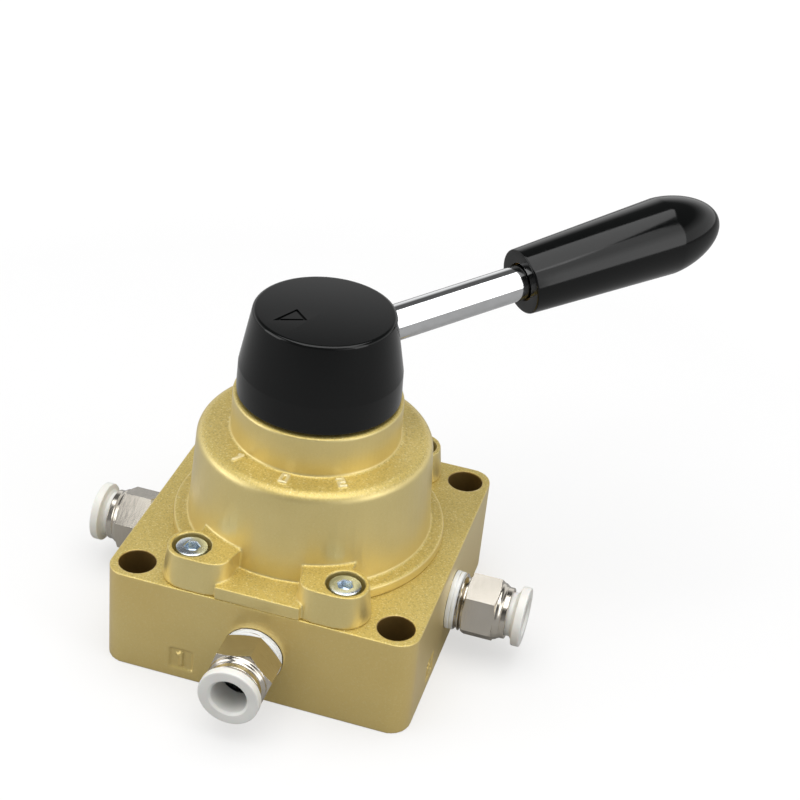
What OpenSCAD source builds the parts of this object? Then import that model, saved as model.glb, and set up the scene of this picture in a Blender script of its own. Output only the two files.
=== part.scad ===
// Hand rotary valve: four side ports with push-in tube fittings, a round bonnet held by
// four cap screws, and a knob with a cranked lever that turns a flat disc over the port seats.
// Millimetres. The origin is the centre of the underside, +Z is up, the front face is at -Y.

/* [Body block] */
// Width and depth of the square block
body_w = 70; // [64:0.5:90]
// Height of the block
body_h = 24.3; // [22:0.1:34]
// Radius of the block's upright corners
corner_r = 5; // [2:0.5:8]
// Distance of a mounting hole's axis from the block's sides
mount_edge = 5.75; // [5.25:0.25:9]
// Diameter of the mounting holes
mount_d = 8.06; // [5:0.01:9]
// Height of the port axes above the underside
port_z = 12.2; // [11:0.1:15]
// Depth of the threaded port holes
port_depth = 12.5; // [11.5:0.5:14]
// Radius of the air ways
way_r = 3.2; // [2:0.1:3.6]
// Distance of the upright ways from the centre
way_radius = 12; // [11.5:0.5:13]
// Side of the square recess that holds a port number
label_w = 5.4; // [4:0.1:7]
// Depth of the recess and height of the number in it
label_depth = 0.5; // [0.3:0.1:1]
// Distance of the recess from the middle of its face
label_offset = 16.4; // [15:0.1:20]
// Height of the middle of the recess
label_z = 5.3; // [5:0.1:7]

/* [Bonnet] */
// Radius of the bonnet's round flange
flange_r = 30.5; // [30:0.1:33]
// Thickness of the flange
flange_t = 2.7; // [2:0.1:4]
// Radius of the dome where it leaves the flange
dome_r = 27.3; // [26:0.1:28]
// How much narrower the dome is at its shoulder
dome_draft = 1.2; // [0:0.1:2]
// Height of the shoulder above the block
shoulder_h = 24.7; // [22:0.1:30]
// Radius of the rounded shoulder edge
shoulder_r = 2.5; // [1:0.1:3]
// Radius of the neck
neck_r = 18.7; // [18.2:0.1:20]
// Height of the neck above the shoulder
neck_h = 9.4; // [8.8:0.1:12]
// Wall of the dome
dome_wall = 3.5; // [2.5:0.1:4]
// Thickness of the roof between the cavity and the neck's recess
roof_t = 6.5; // [5:0.1:8]
// Radius of the recess in the neck
recess_r = 15; // [14.5:0.1:15.5]
// Height of the raised numbers on the shoulder
mark_h = 0.5; // [0.2:0.1:0.8]
// Length of a raised number
mark_size = 3.2; // [2:0.1:3.4]
// Angle between one raised number and the next
mark_spread = 33; // [20:1:45]

/* [Bonnet screws] */
// Distance of a screw from the middle, across the front
screw_x = 17.2; // [16:0.1:18]
// Distance of a screw's axis from the block's front or back face
screw_edge = 6.5; // [6:0.1:7]
// Nominal diameter of the cap screws
screw_d = 4; // [3:0.1:4.5]
// Length of the screws under the head
screw_l = 12; // [10:1:14]
// Height of the screw bosses above the block
boss_h = 7.7; // [7:0.1:9]
// Radius of a boss round its screw
boss_r = 5.2; // [5:0.1:5.6]
// Thickness of the boss under the screw head
boss_floor = 3.3; // [2.5:0.1:4]
// Half the width of the gap between two bosses
boss_gap = 6.5; // [4:0.1:8]
// Height of the shelf between two bosses
shelf_h = 3.1; // [2.9:0.1:4]

/* [Rotor] */
// Radius of the rotor disc
disc_r = 21; // [18.6:0.1:21.5]
// Thickness of the rotor disc
disc_t = 6; // [5:0.1:7]
// Depth of the curved slots in the disc
slot_depth = 3.5; // [2:0.1:4]
// Radius of the spindle
spindle_r = 6; // [5.8:0.1:6.4]
// Radius of the spindle's lower journal
journal_r = 4; // [3:0.1:4.1]
// Side of the square part of the spindle
square_w = 8.4; // [8:0.1:8.6]
// Radius of the spindle's flange
spindle_flange_r = 11; // [10:0.1:13]
// Thickness of the spindle's flange
spindle_flange_t = 3; // [2:0.1:4]
// Thickness of the thrust washer
thrust_t = 0.9; // [0.5:0.1:1.5]
// Wall of the lower bush
seat_bush_wall = 1.4; // [1:0.1:1.6]
// Length of the lower bush
seat_bush_l = 8; // [5:0.1:9]
// Wall of the upper bush
bush_wall = 1.5; // [1:0.1:1.8]
// Wire diameter of the pressure spring
spring_wire = 2.2; // [1.5:0.1:2.4]
// Mean radius of the pressure spring
spring_r = 8.7; // [8:0.1:9]
// Turns of the pressure spring
spring_turns = 3; // [2:0.25:3]

/* [Detent] */
// Radius of the detent hub
hub_r = 14; // [13.5:0.1:14.4]
// Height of the detent hub
hub_h = 6.2; // [6:0.1:6.6]
// Radius of a detent ball
ball_r = 2.5; // [2:0.1:2.6]
// How far a ball springs out into its notch
ball_travel = 0.6; // [0.4:0.05:0.8]
// Radius of the stop pin
pin_r = 1.5; // [1:0.1:1.7]
// Distance of the stop pin from the centre
pin_radius = 10.5; // [10.2:0.1:10.8]
// How far the pin stands into the hub's slot
pin_reach = 2; // [1.5:0.1:2.4]
// Turn of the handle from stop to stop
handle_turn = 90; // [60:5:90]

/* [Knob] */
// Radius of the knob at its lower edge
knob_r = 18; // [17.5:0.1:19]
// Radius of the knob at its crease
knob_crease_r = 17.8; // [17.3:0.1:18.5]
// Radius of the knob at its top
knob_top_r = 15.3; // [14.5:0.1:16.5]
// Height of the knob
knob_h = 19.8; // [19.4:0.1:22]
// Height of the crease above the lower edge
knob_crease_h = 6.5; // [4:0.1:8]
// Gap between the neck and the knob
knob_gap = 0.6; // [0.4:0.1:1]
// Wall of the knob
knob_wall = 2.5; // [2:0.1:3]
// Thickness of the knob's top
knob_top_t = 3; // [2.5:0.1:3.4]
// Rounding of the knob's upper edge
knob_edge_r = 1; // [0.5:0.1:1.5]
// Radius of the boss inside the knob
knob_boss_r = 8.1; // [7.5:0.1:9]
// Depth of the triangle sunk in the knob's top
pointer_t = 0.35; // [0.2:0.05:0.6]

/* [Lever] */
// Direction of the lever seen from above, in degrees from +X
lever_az = 45; // [30:1:60]
// Upward tilt of the lever
lever_tilt = 7.8; // [6:0.01:10]
// Height of the point where the lever's axis meets the knob's axis, above the knob's edge
lever_rise = 11; // [10:0.1:11]
// Radius of the chromed rod
rod_r = 4; // [3.5:0.05:4.2]
// Radius of the threads at the rod's ends
rod_thread_r = 3; // [2.5:0.1:3.1]
// Distance of the grip's mouth from the knob's axis
grip_start = 49.5; // [44:0.1:60]
// Length of the grip
grip_l = 53.7; // [50:0.1:70]
// Radius of the grip at its mouth
grip_mouth_r = 7.5; // [7:0.1:8.5]
// Largest radius of the grip
grip_max_r = 9.15; // [8.6:0.05:10]
// Length of the rounded nose of the grip
grip_nose_l = 15.4; // [10:0.1:20]
// Depth of the recess round the rod in the grip's mouth
grip_recess = 1.5; // [1:0.1:3]
// Radius of that recess
grip_recess_r = 4.4; // [4.3:0.1:4.9]
// Radius of the brass insert in the grip
insert_r = 5; // [4.5:0.1:5]
// Length of the brass insert
insert_l = 13; // [12:0.1:16]

/* [Tube fittings] */
// Outer diameter of the tube that the fittings take
tube_d = 8; // [7.8:0.1:8]
// Width across the flats of the hexagon
hex_af = 13.2; // [13:0.1:15]
// Length of the hexagon
hex_l = 7.3; // [5:0.1:8]
// Exposed length of the thread when the fitting is seated
thread_out = 3.7; // [3:0.1:5]
// Length of the thread below the body's face
thread_in = 9; // [7:0.1:9]
// Radius of the thread's crests
thread_r = 6.55; // [6.4:0.05:6.6]
// Pitch of the thread
thread_pitch = 1.337; // [1:0.001:1.5]
// Length of the rounded shoulder outside the hexagon
round_l = 2.6; // [2.4:0.1:4]
// Radius of the fitting's mouth
mouth_r = 5.85; // [5.7:0.05:6.2]
// Radius of the release collar's flange
collar_r = 6.8; // [6.5:0.1:8]
// Thickness of that flange
collar_t = 2.4; // [1.2:0.1:2.8]
// Gap between the fitting's mouth and the collar's flange
collar_gap = 1.3; // [1.2:0.1:2.5]
// How far the release collar can be pushed in
collar_travel = 1.1; // [0.5:0.1:1.1]
// Extra turns of the front fitting, as a depth
seat_front = 1.6; // [0:0.1:1.6]
// Extra turns of the right fitting, as a depth
seat_right = 0; // [0:0.1:1.6]
// Extra turns of the back fitting, as a depth
seat_back = 0.8; // [0:0.1:1.6]
// Extra turns of the left fitting, as a depth
seat_left = 1.3; // [0:0.1:1.6]
// How far the front release collar is pushed in, as the fitting stands
pushed_front = 0.5; // [0:0.1:1.1]
// Turn of the front fitting about its own axis
spin_front = 42; // [0:1:59]
// Turn of the right fitting about its own axis
spin_right = 45; // [0:1:59]
// Turn of the back fitting about its own axis
spin_back = 8; // [0:1:59]
// Turn of the left fitting about its own axis
spin_left = 51; // [0:1:59]

/* [Seals and fits] */
// Cord diameter of the bonnet's O-ring
seal_cord = 1.8; // [1.5:0.1:2]
// Mean radius of the bonnet's O-ring
seal_r = 26; // [25.8:0.1:26.2]
// Cord diameter of the port O-rings
port_seal_cord = 1.6; // [1.2:0.1:1.6]
// Mean radius of the port O-rings
port_seal_r = 4.8; // [4.7:0.05:4.9]
// Cord diameter of the spindle's O-ring
spindle_seal_cord = 1.6; // [1.2:0.1:1.8]
// Outer radius of the white sealant ring on a fitting's thread
sealant_r = 6.8; // [6.7:0.05:7]
// Length of that sealant ring
sealant_l = 2; // [0.8:0.1:2]
// Running clearance of the spindle in its bushes
run_clear = 0.04; // [0.02:0.01:0.08]
// Clearance between parts that are fitted together by hand
fit_clear = 0.05; // [0.03:0.01:0.1]
// Gap between parts that turn past each other
gap = 0.1; // [0.05:0.01:0.2]

/* [Hidden] */
$fn = 48;
cut = 1;

// Heights of the stack on the spindle, from the block's top upwards
cavity_top = body_h + shoulder_h - roof_t + 1.5;
recess_floor = cavity_top + roof_t;
shoulder_z = body_h + shoulder_h;
neck_top = shoulder_z + neck_h;
disc_z = body_h + gap / 2;
disc_top = disc_z + disc_t;
thrust_z = cavity_top - gap - thrust_t;
spindle_flange_z = thrust_z - spindle_flange_t;
hub_z = recess_floor + 3 * gap;
hub_top = hub_z + hub_h;
ball_z = hub_z + hub_h / 2;
knob_z = neck_top + knob_gap;
knob_top = knob_z + knob_h;
lever_z = knob_z + lever_rise;
square_top = knob_top - knob_top_t - 1.8;

// Places and radii that follow from the driving sizes
mount_pitch = body_w - 2 * mount_edge;
screw_y = body_w / 2 - screw_edge;
cavity_r = dome_r - dome_draft - dome_wall;
seat_bush_r = journal_r + run_clear + seat_bush_wall;
bush_r = spindle_r + run_clear + bush_wall;
square_hole = square_w + 2 * fit_clear;
seal_room = 0.2;

// Ports, in the order front, right, back, left
port_angle = [-90, 0, 90, 180];
port_seat = [-seat_front, -seat_right, -seat_back, -seat_left];
port_pushed = [pushed_front, 0, 0, 0];
port_spin = [spin_front, spin_right, spin_back, spin_left];
port_r = thread_r + fit_clear;

// Bonnet screws
screw_r = screw_d / 2;
head_r = 0.875 * screw_d;
head_z = body_h + boss_floor;
socket_af = 0.75 * screw_d;
cbore_r = head_r + 0.77;
screw_tip = head_z - screw_l;
web_proud = 0.08;
boss_lean = 0.9;
boss_corner_r = 4;

// Detent: the ball's centre when it is pressed back, and the notches it springs into
ball_radius = recess_r - gap - ball_r;
notch_radius = ball_radius + ball_travel;
notch_r = ball_r + gap;
pocket_r = ball_r + fit_clear;
pocket_floor = square_hole / 2 + 1.2;
detent_wire = 0.6;
detent_spring_r = 1.7;
stop_angle = lever_az + 135;
stop_room = 2 * gap;

// Fittings, measured outwards from the body's face along the port's axis
mouth_v = thread_out + hex_l + round_l;
collar_v = mouth_v + collar_gap;
bore_r = tube_d / 2 + fit_clear;
socket_r = bore_r + fit_clear;
mouth_wall = 0.45;
shell_r = mouth_r - mouth_wall;
guide_l = 3;
guide_wall = 0.35;
sleeve_r = shell_r - guide_wall - fit_clear;
sleeve_l = 3.4;
sleeve_v = mouth_v - sleeve_l;
grab_t = 0.8;
grab_room = 0.2;
grab_v = sleeve_v - collar_travel - grab_t - grab_room;
tube_seal_room = 1.8;
cavity_v = grab_v - tube_seal_room;
tube_seal_cord = shell_r - bore_r - fit_clear;
flow_r = 3;
socket_l = 4.8;
thread_groove = 0.8;
hex_chamfer = 0.4;
step_w = 0.1;
mouth_ring_l = 1.3;
mouth_round = 0.3;

// Colours, as the photograph shows them
gold = [0.74, 0.66, 0.42];
nickel = [0.72, 0.70, 0.66];
zinc = [0.72, 0.76, 0.80];
steel = [0.60, 0.61, 0.63];
chrome = [0.86, 0.87, 0.89];
bronze = [0.62, 0.45, 0.24];
brass = [0.80, 0.64, 0.30];
white = [0.86, 0.86, 0.85];
black = [0.07, 0.07, 0.08];
rubber = [0.10, 0.10, 0.10];
alloy = [0.70, 0.71, 0.73];

// The points of an arc round a centre, for profiles that are turned
function arc(centre, r, from, to, steps = 6) =
    [for (i = [0:steps]) let (a = from + (to - from) * i / steps) centre + r * [cos(a), sin(a)]];

// One round tube swept along a helix about Z, from height z0 to z1
function ring(p, a, r, sides) =
    [for (i = [0:sides - 1]) let (t = 360 * i / sides)
        p + r * [cos(t) * cos(a), cos(t) * sin(a), sin(t)]];
module helix(mean_r, wire_r, z0, z1, turns, sides = 10, per_turn = 20) {
    rings = turns * per_turn;
    points = [for (k = [0:rings]) let (a = 360 * k / per_turn, z = z0 + (z1 - z0) * k / rings)
        each ring([mean_r * cos(a), mean_r * sin(a), z], a, wire_r, sides)];
    walls = [for (k = [0:rings - 1], i = [0:sides - 1]) let (j = (i + 1) % sides, b = k * sides)
        each [[b + i, b + sides + j, b + j], [b + i, b + sides + i, b + sides + j]]];
    first = [for (i = [0:sides - 1]) i];
    last = [for (i = [sides - 1:-1:0]) rings * sides + i];
    polyhedron(points, concat(walls, [first, last]));
}

// A torus with its axis on Z
module o_ring(mean_r, cord, z) {
    translate([0, 0, z])
        rotate_extrude()
            translate([mean_r, 0])
                circle(d = cord, $fn = 24);
}

// A tube with its axis on Z
module tube(outer, inner, z0, z1) {
    translate([0, 0, z0])
        difference() {
            cylinder(r = outer, h = z1 - z0);
            translate([0, 0, -cut])
                cylinder(r = inner, h = z1 - z0 + 2 * cut);
        }
}

// A square with rounded corners
module rounded_square(w, r) {
    square([w - 2 * r, w], center = true);
    square([w, w - 2 * r], center = true);
    for (x = [-1, 1], y = [-1, 1])
        translate([x * (w / 2 - r), y * (w / 2 - r)])
            circle(r = r);
}

// A plain block numeral, three strokes wide and five high, centred
module numeral(n, height) {
    bars = [
        [[0, 0, 3, 1], [0, 4, 3, 1], [0, 0, 1, 5], [2, 0, 1, 5]],
        [[1, 0, 1, 5], [0, 3.4, 1.5, 1]],
        [[0, 0, 3, 1], [0, 2, 3, 1], [0, 4, 3, 1], [0, 0, 1, 3], [2, 2, 1, 3]],
        [[0, 0, 3, 1], [0, 2, 3, 1], [0, 4, 3, 1], [2, 0, 1, 5]],
        [[0, 2, 3, 1], [0, 2, 1, 3], [2, 0, 1, 5]]
    ];
    s = height / 5;
    for (b = bars[n])
        translate([(b[0] - 1.5) * s, (b[1] - 2.5) * s])
            square([b[2] * s, b[3] * s]);
}

// The four bonnet screw places
module at_screws() {
    for (x = [-1, 1], y = [-1, 1])
        translate([x * screw_x, y * screw_y, 0])
            children();
}

// A port's own frame: Z runs outwards along its axis from the body's face
module at_port(i) {
    rotate([0, 0, port_angle[i]])
        translate([body_w / 2 + port_seat[i], 0, port_z])
            rotate([0, 90, 0])
                rotate([0, 0, port_spin[i]])
                    children();
}

// The lever's own frame: Z runs outwards along the rod
module along_lever() {
    rotate([0, 0, lever_az])
        translate([0, 0, lever_z])
            rotate([0, 90 - lever_tilt, 0])
                children();
}

// The square drive shared by the spindle, the disc, the hub and the knob
module square_drive(w, z0, z1) {
    rotate([0, 0, lever_az])
        translate([-w / 2, -w / 2, z0])
            cube([w, w, z1 - z0]);
}

// One port: the threaded hole and the bent way up to the seat
module port_cut() {
    translate([body_w / 2 - port_depth, 0, port_z])
        rotate([0, 90, 0])
            cylinder(r = port_r, h = port_depth + cut);
    translate([way_radius - way_r, 0, port_z])
        rotate([0, 90, 0])
            cylinder(r = way_r, h = body_w / 2 - port_depth - way_radius + way_r + cut);
    translate([way_radius, 0, port_z - way_r / 2])
        cylinder(r = way_r, h = body_h);
}

// The recess beside a port, with its number standing in it
module port_label(n) {
    translate([body_w / 2 - label_depth, -label_offset, label_z])
        rotate([90, 0, 90])
            difference() {
                translate([-label_w / 2, -label_w / 2, 0])
                    cube([label_w, label_w, label_depth + cut]);
                translate([0, 0, -cut])
                    linear_extrude(label_depth + 3 * cut)
                        numeral(n, 0.68 * label_w);
            }
}

module body_block() {
    color(gold)
        difference() {
            linear_extrude(body_h)
                rounded_square(body_w, corner_r);
            for (x = [-1, 1], y = [-1, 1])
                translate([x * mount_pitch / 2, y * mount_pitch / 2, -cut])
                    cylinder(d = mount_d, h = body_h + 2 * cut);
            for (i = [0:3])
                rotate([0, 0, port_angle[i]]) {
                    port_cut();
                    port_label(i + 1);
                    translate([way_radius, 0, body_h])
                        seal_groove(port_seal_r, port_seal_cord);
                }
            translate([0, 0, body_h])
                seal_groove(seal_r, seal_cord);
            translate([0, 0, body_h - seat_bush_l - cut])
                cylinder(r = seat_bush_r, h = seat_bush_l + 2 * cut);
            at_screws()
                translate([0, 0, screw_tip - 1])
                    cylinder(r = screw_r + fit_clear, h = body_h);
        }
}

// An O-ring groove, cut down from z = 0
module seal_groove(mean_r, cord) {
    depth = cord + fit_clear;
    tube(mean_r + cord / 2 + seal_room / 2, mean_r - cord / 2 - seal_room / 2, -depth, cut);
}

// A coned post of a boss, for the left front screw
module boss_post(x, y, r) {
    translate([-x, -y, body_h])
        cylinder(r1 = r + boss_lean, r2 = r, h = boss_h);
}

// One boss: a post round the screw, one at its inner corner, and a web back to the dome
module screw_boss() {
    front = screw_y + boss_r;
    corner_x = boss_gap + 1.3 + boss_corner_r;
    corner_y = front - boss_corner_r;
    web_front = front + web_proud;
    boss_post(screw_x, screw_y, boss_r);
    boss_post(corner_x, corner_y, boss_corner_r);
    translate([0, 0, body_h])
        difference() {
            linear_extrude(boss_h)
                polygon([
                    [-screw_x, 0], [-screw_x, -web_front - boss_lean], [-corner_x, -web_front - boss_lean],
                    [-corner_x, -corner_y], [-boss_gap - 1.4, -corner_y], [-boss_gap, -screw_y + 4],
                    [-boss_gap, 0]
                ]);
            translate([-body_w, -web_front - boss_lean, 0])
                rotate([-atan(boss_lean / boss_h), 0, 0])
                    translate([0, -boss_h, -cut])
                        cube([2 * body_w, boss_h, 2 * boss_h]);
        }
}

// The outside of the bonnet as a turned profile
module bonnet_turned() {
    edge = 0.6;
    top_r = dome_r - dome_draft;
    rotate_extrude($fn = 96)
        polygon(concat(
            [[0, body_h], [flange_r, body_h]],
            arc([flange_r - edge, body_h + flange_t - edge], edge, 0, 90),
            arc([dome_r + edge, body_h + flange_t + edge], edge, 270, 180),
            arc([top_r - shoulder_r, shoulder_z - shoulder_r], shoulder_r, 0, 90),
            arc([neck_r + edge, shoulder_z + edge], edge, 270, 180),
            arc([neck_r - edge, neck_top - edge], edge, 0, 90),
            [[0, neck_top]]
        ));
}

// The neck's recess, with a notch wherever the detent holds the handle
module recess_plan() {
    circle(r = recess_r, $fn = 96);
    for (side = [0, 180], step = [0:2])
        rotate(lever_az + side + step * handle_turn / 2)
            translate([notch_radius, 0])
                circle(r = notch_r);
}

module bonnet() {
    color(gold)
        difference() {
            union() {
                bonnet_turned();
                for (side = [0, 1], end = [0, 1])
                    mirror([side, 0, 0])
                        mirror([0, end, 0])
                            screw_boss();
                for (end = [0, 1])
                    mirror([0, end, 0])
                        translate([-boss_gap - 3, -body_w / 2, body_h])
                            cube([2 * boss_gap + 6, body_w / 2 - neck_r, shelf_h]);
                shoulder_marks();
            }
            translate([0, 0, body_h - cut])
                cylinder(r = cavity_r, h = cavity_top - body_h + cut, $fn = 96);
            translate([0, 0, cavity_top - cut])
                cylinder(r = bush_r, h = roof_t + 2 * cut);
            translate([0, 0, recess_floor])
                linear_extrude(neck_h + cut)
                    recess_plan();
            rotate([0, 0, stop_angle])
                translate([pin_radius, 0, cavity_top - cut])
                    cylinder(r = pin_r, h = roof_t + 2 * cut);
            at_screws() {
                translate([0, 0, body_h - cut])
                    cylinder(r = screw_r + 5 * fit_clear, h = boss_h);
                translate([0, 0, head_z])
                    cylinder(r = cbore_r, h = boss_h);
            }
        }
}

// Raised numbers on the shoulder, one beside each place of the pointer
module shoulder_marks() {
    numbers = [1, 0, 2];
    middle = lever_az + 180 + handle_turn / 2;
    flat_r = (neck_r + dome_r - dome_draft - shoulder_r) / 2;
    for (k = [-1:1])
        rotate([0, 0, middle + 90 + k * mark_spread])
            translate([0, -flat_r, shoulder_z - cut])
                linear_extrude(cut + mark_h)
                    numeral(numbers[k + 1], mark_size);
}

module bonnet_screws() {
    color(zinc)
        at_screws()
            difference() {
                union() {
                    translate([0, 0, screw_tip])
                        cylinder(r = screw_r, h = screw_l);
                    translate([0, 0, head_z])
                        rotate_extrude()
                            polygon(concat(
                                [[0, 0], [head_r, 0]],
                                arc([head_r - 0.4, screw_d - 0.4], 0.4, 0, 90, 3),
                                [[0, screw_d]]
                            ));
                }
                translate([0, 0, head_z + screw_d / 2])
                    cylinder(r = socket_af / 2 / cos(30), h = screw_d, $fn = 6);
            }
}

module bonnet_seal() {
    color(rubber)
        o_ring(seal_r, seal_cord, body_h - (seal_cord + fit_clear) / 2);
}

module port_seals() {
    color(rubber)
        for (a = port_angle)
            rotate([0, 0, a])
                translate([way_radius, 0, 0])
                    o_ring(port_seal_r, port_seal_cord, body_h - (port_seal_cord + fit_clear) / 2);
}

module seat_bush() {
    color(bronze)
        tube(seat_bush_r, journal_r + run_clear, body_h - seat_bush_l - cut, body_h - gap);
}

module spindle_bush() {
    color(bronze)
        tube(bush_r, spindle_r + run_clear, cavity_top, recess_floor);
}

module stop_pin() {
    color(steel)
        rotate([0, 0, stop_angle])
            translate([pin_radius, 0, cavity_top])
                cylinder(r = pin_r, h = hub_z + pin_reach - cavity_top);
}

// The nickel-plated body of a fitting: thread, hexagon and rounded mouth
module fitting_body() {
    root_r = thread_r - thread_groove;
    turns = floor((thread_in + thread_out - thread_groove) / thread_pitch);
    hex_r = hex_af / 2;
    hex_end = thread_out + hex_l;
    ring_v = mouth_v - mouth_ring_l;
    round_r = ring_v - hex_end;
    color(nickel)
        difference() {
            union() {
                rotate_extrude()
                    polygon(concat(
                        [[0, -thread_in], [root_r, -thread_in]],
                        [for (k = [0:turns - 1], step = [0, 1])
                            [root_r + thread_groove * step, -thread_in + (k + step / 2 + 0.25) * thread_pitch]],
                        [[root_r, thread_out - thread_groove], [root_r, thread_out + step_w],
                         [0, thread_out + step_w]]
                    ));
                intersection() {
                    translate([0, 0, thread_out])
                        cylinder(r = hex_r / cos(30), h = hex_l, $fn = 6);
                    rotate_extrude()
                        polygon([
                            [0, thread_out], [hex_r, thread_out],
                            [hex_r / cos(30), thread_out + hex_chamfer],
                            [hex_r / cos(30), hex_end - hex_chamfer],
                            [hex_r, hex_end], [0, hex_end]
                        ]);
                }
                rotate_extrude()
                    polygon(concat(
                        [[0, hex_end - cut], [hex_r - step_w, hex_end - cut]],
                        arc([hex_r - step_w - round_r, hex_end], round_r, 0, 50),
                        [[mouth_r + step_w, ring_v], [mouth_r, ring_v]],
                        arc([mouth_r - mouth_round, mouth_v - mouth_round], mouth_round, 0, 90, 3),
                        [[0, mouth_v]]
                    ));
            }
            translate([0, 0, -thread_in - cut])
                cylinder(r = flow_r, h = thread_in + cavity_v + cut);
            translate([0, 0, cavity_v - socket_l])
                cylinder(r = socket_r, h = socket_l + cut);
            translate([0, 0, cavity_v])
                cylinder(r = shell_r, h = mouth_v - cavity_v + cut);
        }
}

module guide_ring() {
    color(nickel)
        tube(shell_r, shell_r - guide_wall, mouth_v - guide_l, mouth_v - step_w);
}

// The toothed ring that bites the tube
module grab_ring() {
    tooth_gap = 0.5;
    color(steel)
        translate([0, 0, grab_v])
            difference() {
                cylinder(r = shell_r, h = grab_t);
                translate([0, 0, -cut])
                    cylinder(r = socket_r, h = grab_t + 2 * cut);
                for (k = [0:7])
                    rotate([0, 0, k * 45])
                        translate([socket_r - mouth_round, -tooth_gap / 2, -cut])
                            cube([mouth_round + grab_t, tooth_gap, grab_t + 2 * cut]);
            }
}

module tube_seal() {
    color(rubber)
        o_ring((shell_r + bore_r) / 2, tube_seal_cord, cavity_v + tube_seal_cord / 2 + fit_clear);
}

// White sealant on the first turns of the thread, against the body's face
module thread_seal(i) {
    color(white)
        translate([0, 0, -port_seat[i]])
            tube(sealant_r, thread_r, 0, sealant_l);
}

module release_collar(i) {
    edge = 0.4;
    lead = 0.5;
    back = 0.3;
    cone = 1.2;
    under = 290;
    color(white)
        translate([0, 0, -port_pushed[i]])
            rotate_extrude()
                polygon(concat(
                    [[bore_r, sleeve_v], [sleeve_r, sleeve_v], [sleeve_r, collar_v - back],
                     [collar_r - cone, collar_v + back - step_w]],
                    arc([collar_r - edge, collar_v + back + edge], edge, under, 360, 3),
                    arc([collar_r - edge, collar_v + collar_t - edge], edge, 0, 90, 3),
                    [[bore_r + lead, collar_v + collar_t], [bore_r, collar_v + collar_t - lead]]
                ));
}

module spindle() {
    seal_z = cavity_top + roof_t / 2;
    groove = spindle_seal_cord + fit_clear;
    color(steel)
        difference() {
            union() {
                translate([0, 0, body_h - seat_bush_l])
                    cylinder(r = journal_r, h = seat_bush_l + cut);
                square_drive(square_w, disc_z, disc_top + cut);
                translate([0, 0, disc_top + fit_clear])
                    cylinder(r = spindle_r, h = hub_z - disc_top - fit_clear);
                translate([0, 0, spindle_flange_z])
                    cylinder(r = spindle_flange_r, h = spindle_flange_t);
                square_drive(square_w, hub_z - cut, square_top);
            }
            translate([0, 0, seal_z])
                tube(spindle_r + cut, spindle_r - groove, -groove / 2 - 0.1, groove / 2 + 0.1);
            along_lever()
                translate([0, 0, -square_w / 2 + 1])
                    cylinder(r = rod_thread_r + fit_clear, h = square_w);
        }
}

// The disc that joins two pairs of ports at each end of its turn, and none in the middle
module rotor_disc() {
    color(alloy)
        difference() {
            translate([0, 0, disc_z])
                cylinder(r = disc_r, h = disc_t, $fn = 96);
            square_drive(square_hole, disc_z - cut, disc_top + cut);
            for (start = [-90, 90])
                rotate([0, 0, start]) {
                    translate([0, 0, disc_z - cut])
                        rotate_extrude(angle = 90)
                            translate([way_radius - way_r, 0])
                                square([2 * way_r, slot_depth + cut]);
                    for (end = [0, 90])
                        rotate([0, 0, end])
                            translate([way_radius, 0, disc_z - cut])
                                cylinder(r = way_r, h = slot_depth + cut);
                }
        }
}

module pressure_spring() {
    low = disc_top + spring_wire / 2 + fit_clear;
    high = spindle_flange_z - spring_wire / 2 - fit_clear;
    color(steel)
        helix(spring_r, spring_wire / 2, low, high, spring_turns);
}

module thrust_washer() {
    color(bronze)
        tube(spindle_flange_r, spindle_r + fit_clear, thrust_z, thrust_z + thrust_t);
}

module spindle_seal() {
    color(rubber)
        o_ring(spindle_r - spindle_seal_cord / 2, spindle_seal_cord, cavity_top + roof_t / 2);
}

// The hub that carries the balls and turns between the ends of the stop pin's slot
module detent_hub() {
    slot_r = pin_r + stop_room;
    color(alloy)
        difference() {
            translate([0, 0, hub_z])
                cylinder(r = hub_r, h = hub_h);
            square_drive(square_hole, hub_z - cut, hub_top + cut);
            for (side = [0, 180])
                rotate([0, 0, lever_az + side])
                    translate([pocket_floor, 0, ball_z])
                        rotate([0, 90, 0])
                            cylinder(r = pocket_r, h = hub_r);
            rotate([0, 0, stop_angle - handle_turn])
                translate([0, 0, hub_z - cut])
                    rotate_extrude(angle = handle_turn)
                        translate([pin_radius - slot_r, 0])
                            square([2 * slot_r, pin_reach + stop_room + cut]);
            for (end = [0, handle_turn])
                rotate([0, 0, stop_angle - end])
                    translate([pin_radius, 0, hub_z - cut])
                        cylinder(r = slot_r, h = pin_reach + stop_room + cut);
        }
}

module detent_springs() {
    back = pocket_floor + detent_wire / 2 + fit_clear;
    contact = sqrt(pow(ball_r + detent_wire / 2, 2) - pow(detent_spring_r, 2));
    front = ball_radius - contact - gap;
    color(steel)
        for (side = [0, 180])
            rotate([0, 0, lever_az + side])
                translate([0, 0, ball_z])
                    rotate([0, 90, 0])
                        helix(detent_spring_r, detent_wire / 2, back, front, 4, 8, 14);
}

module detent_ball(side) {
    color(chrome)
        rotate([0, 0, lever_az + side])
            translate([ball_radius, 0, ball_z])
                sphere(r = ball_r);
}

// The outline of a triangle that points away from the lever
module pointer_plan() {
    tip = 12.36;
    tail = 5.4;
    half = 2.52;
    groove = 0.6;
    difference() {
        polygon([[tip, 0], [tail, half], [tail, -half]]);
        polygon([[tip - 3.1 * groove, 0], [tail + groove, half - 1.35 * groove],
                 [tail + groove, -half + 1.35 * groove]]);
    }
}

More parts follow.
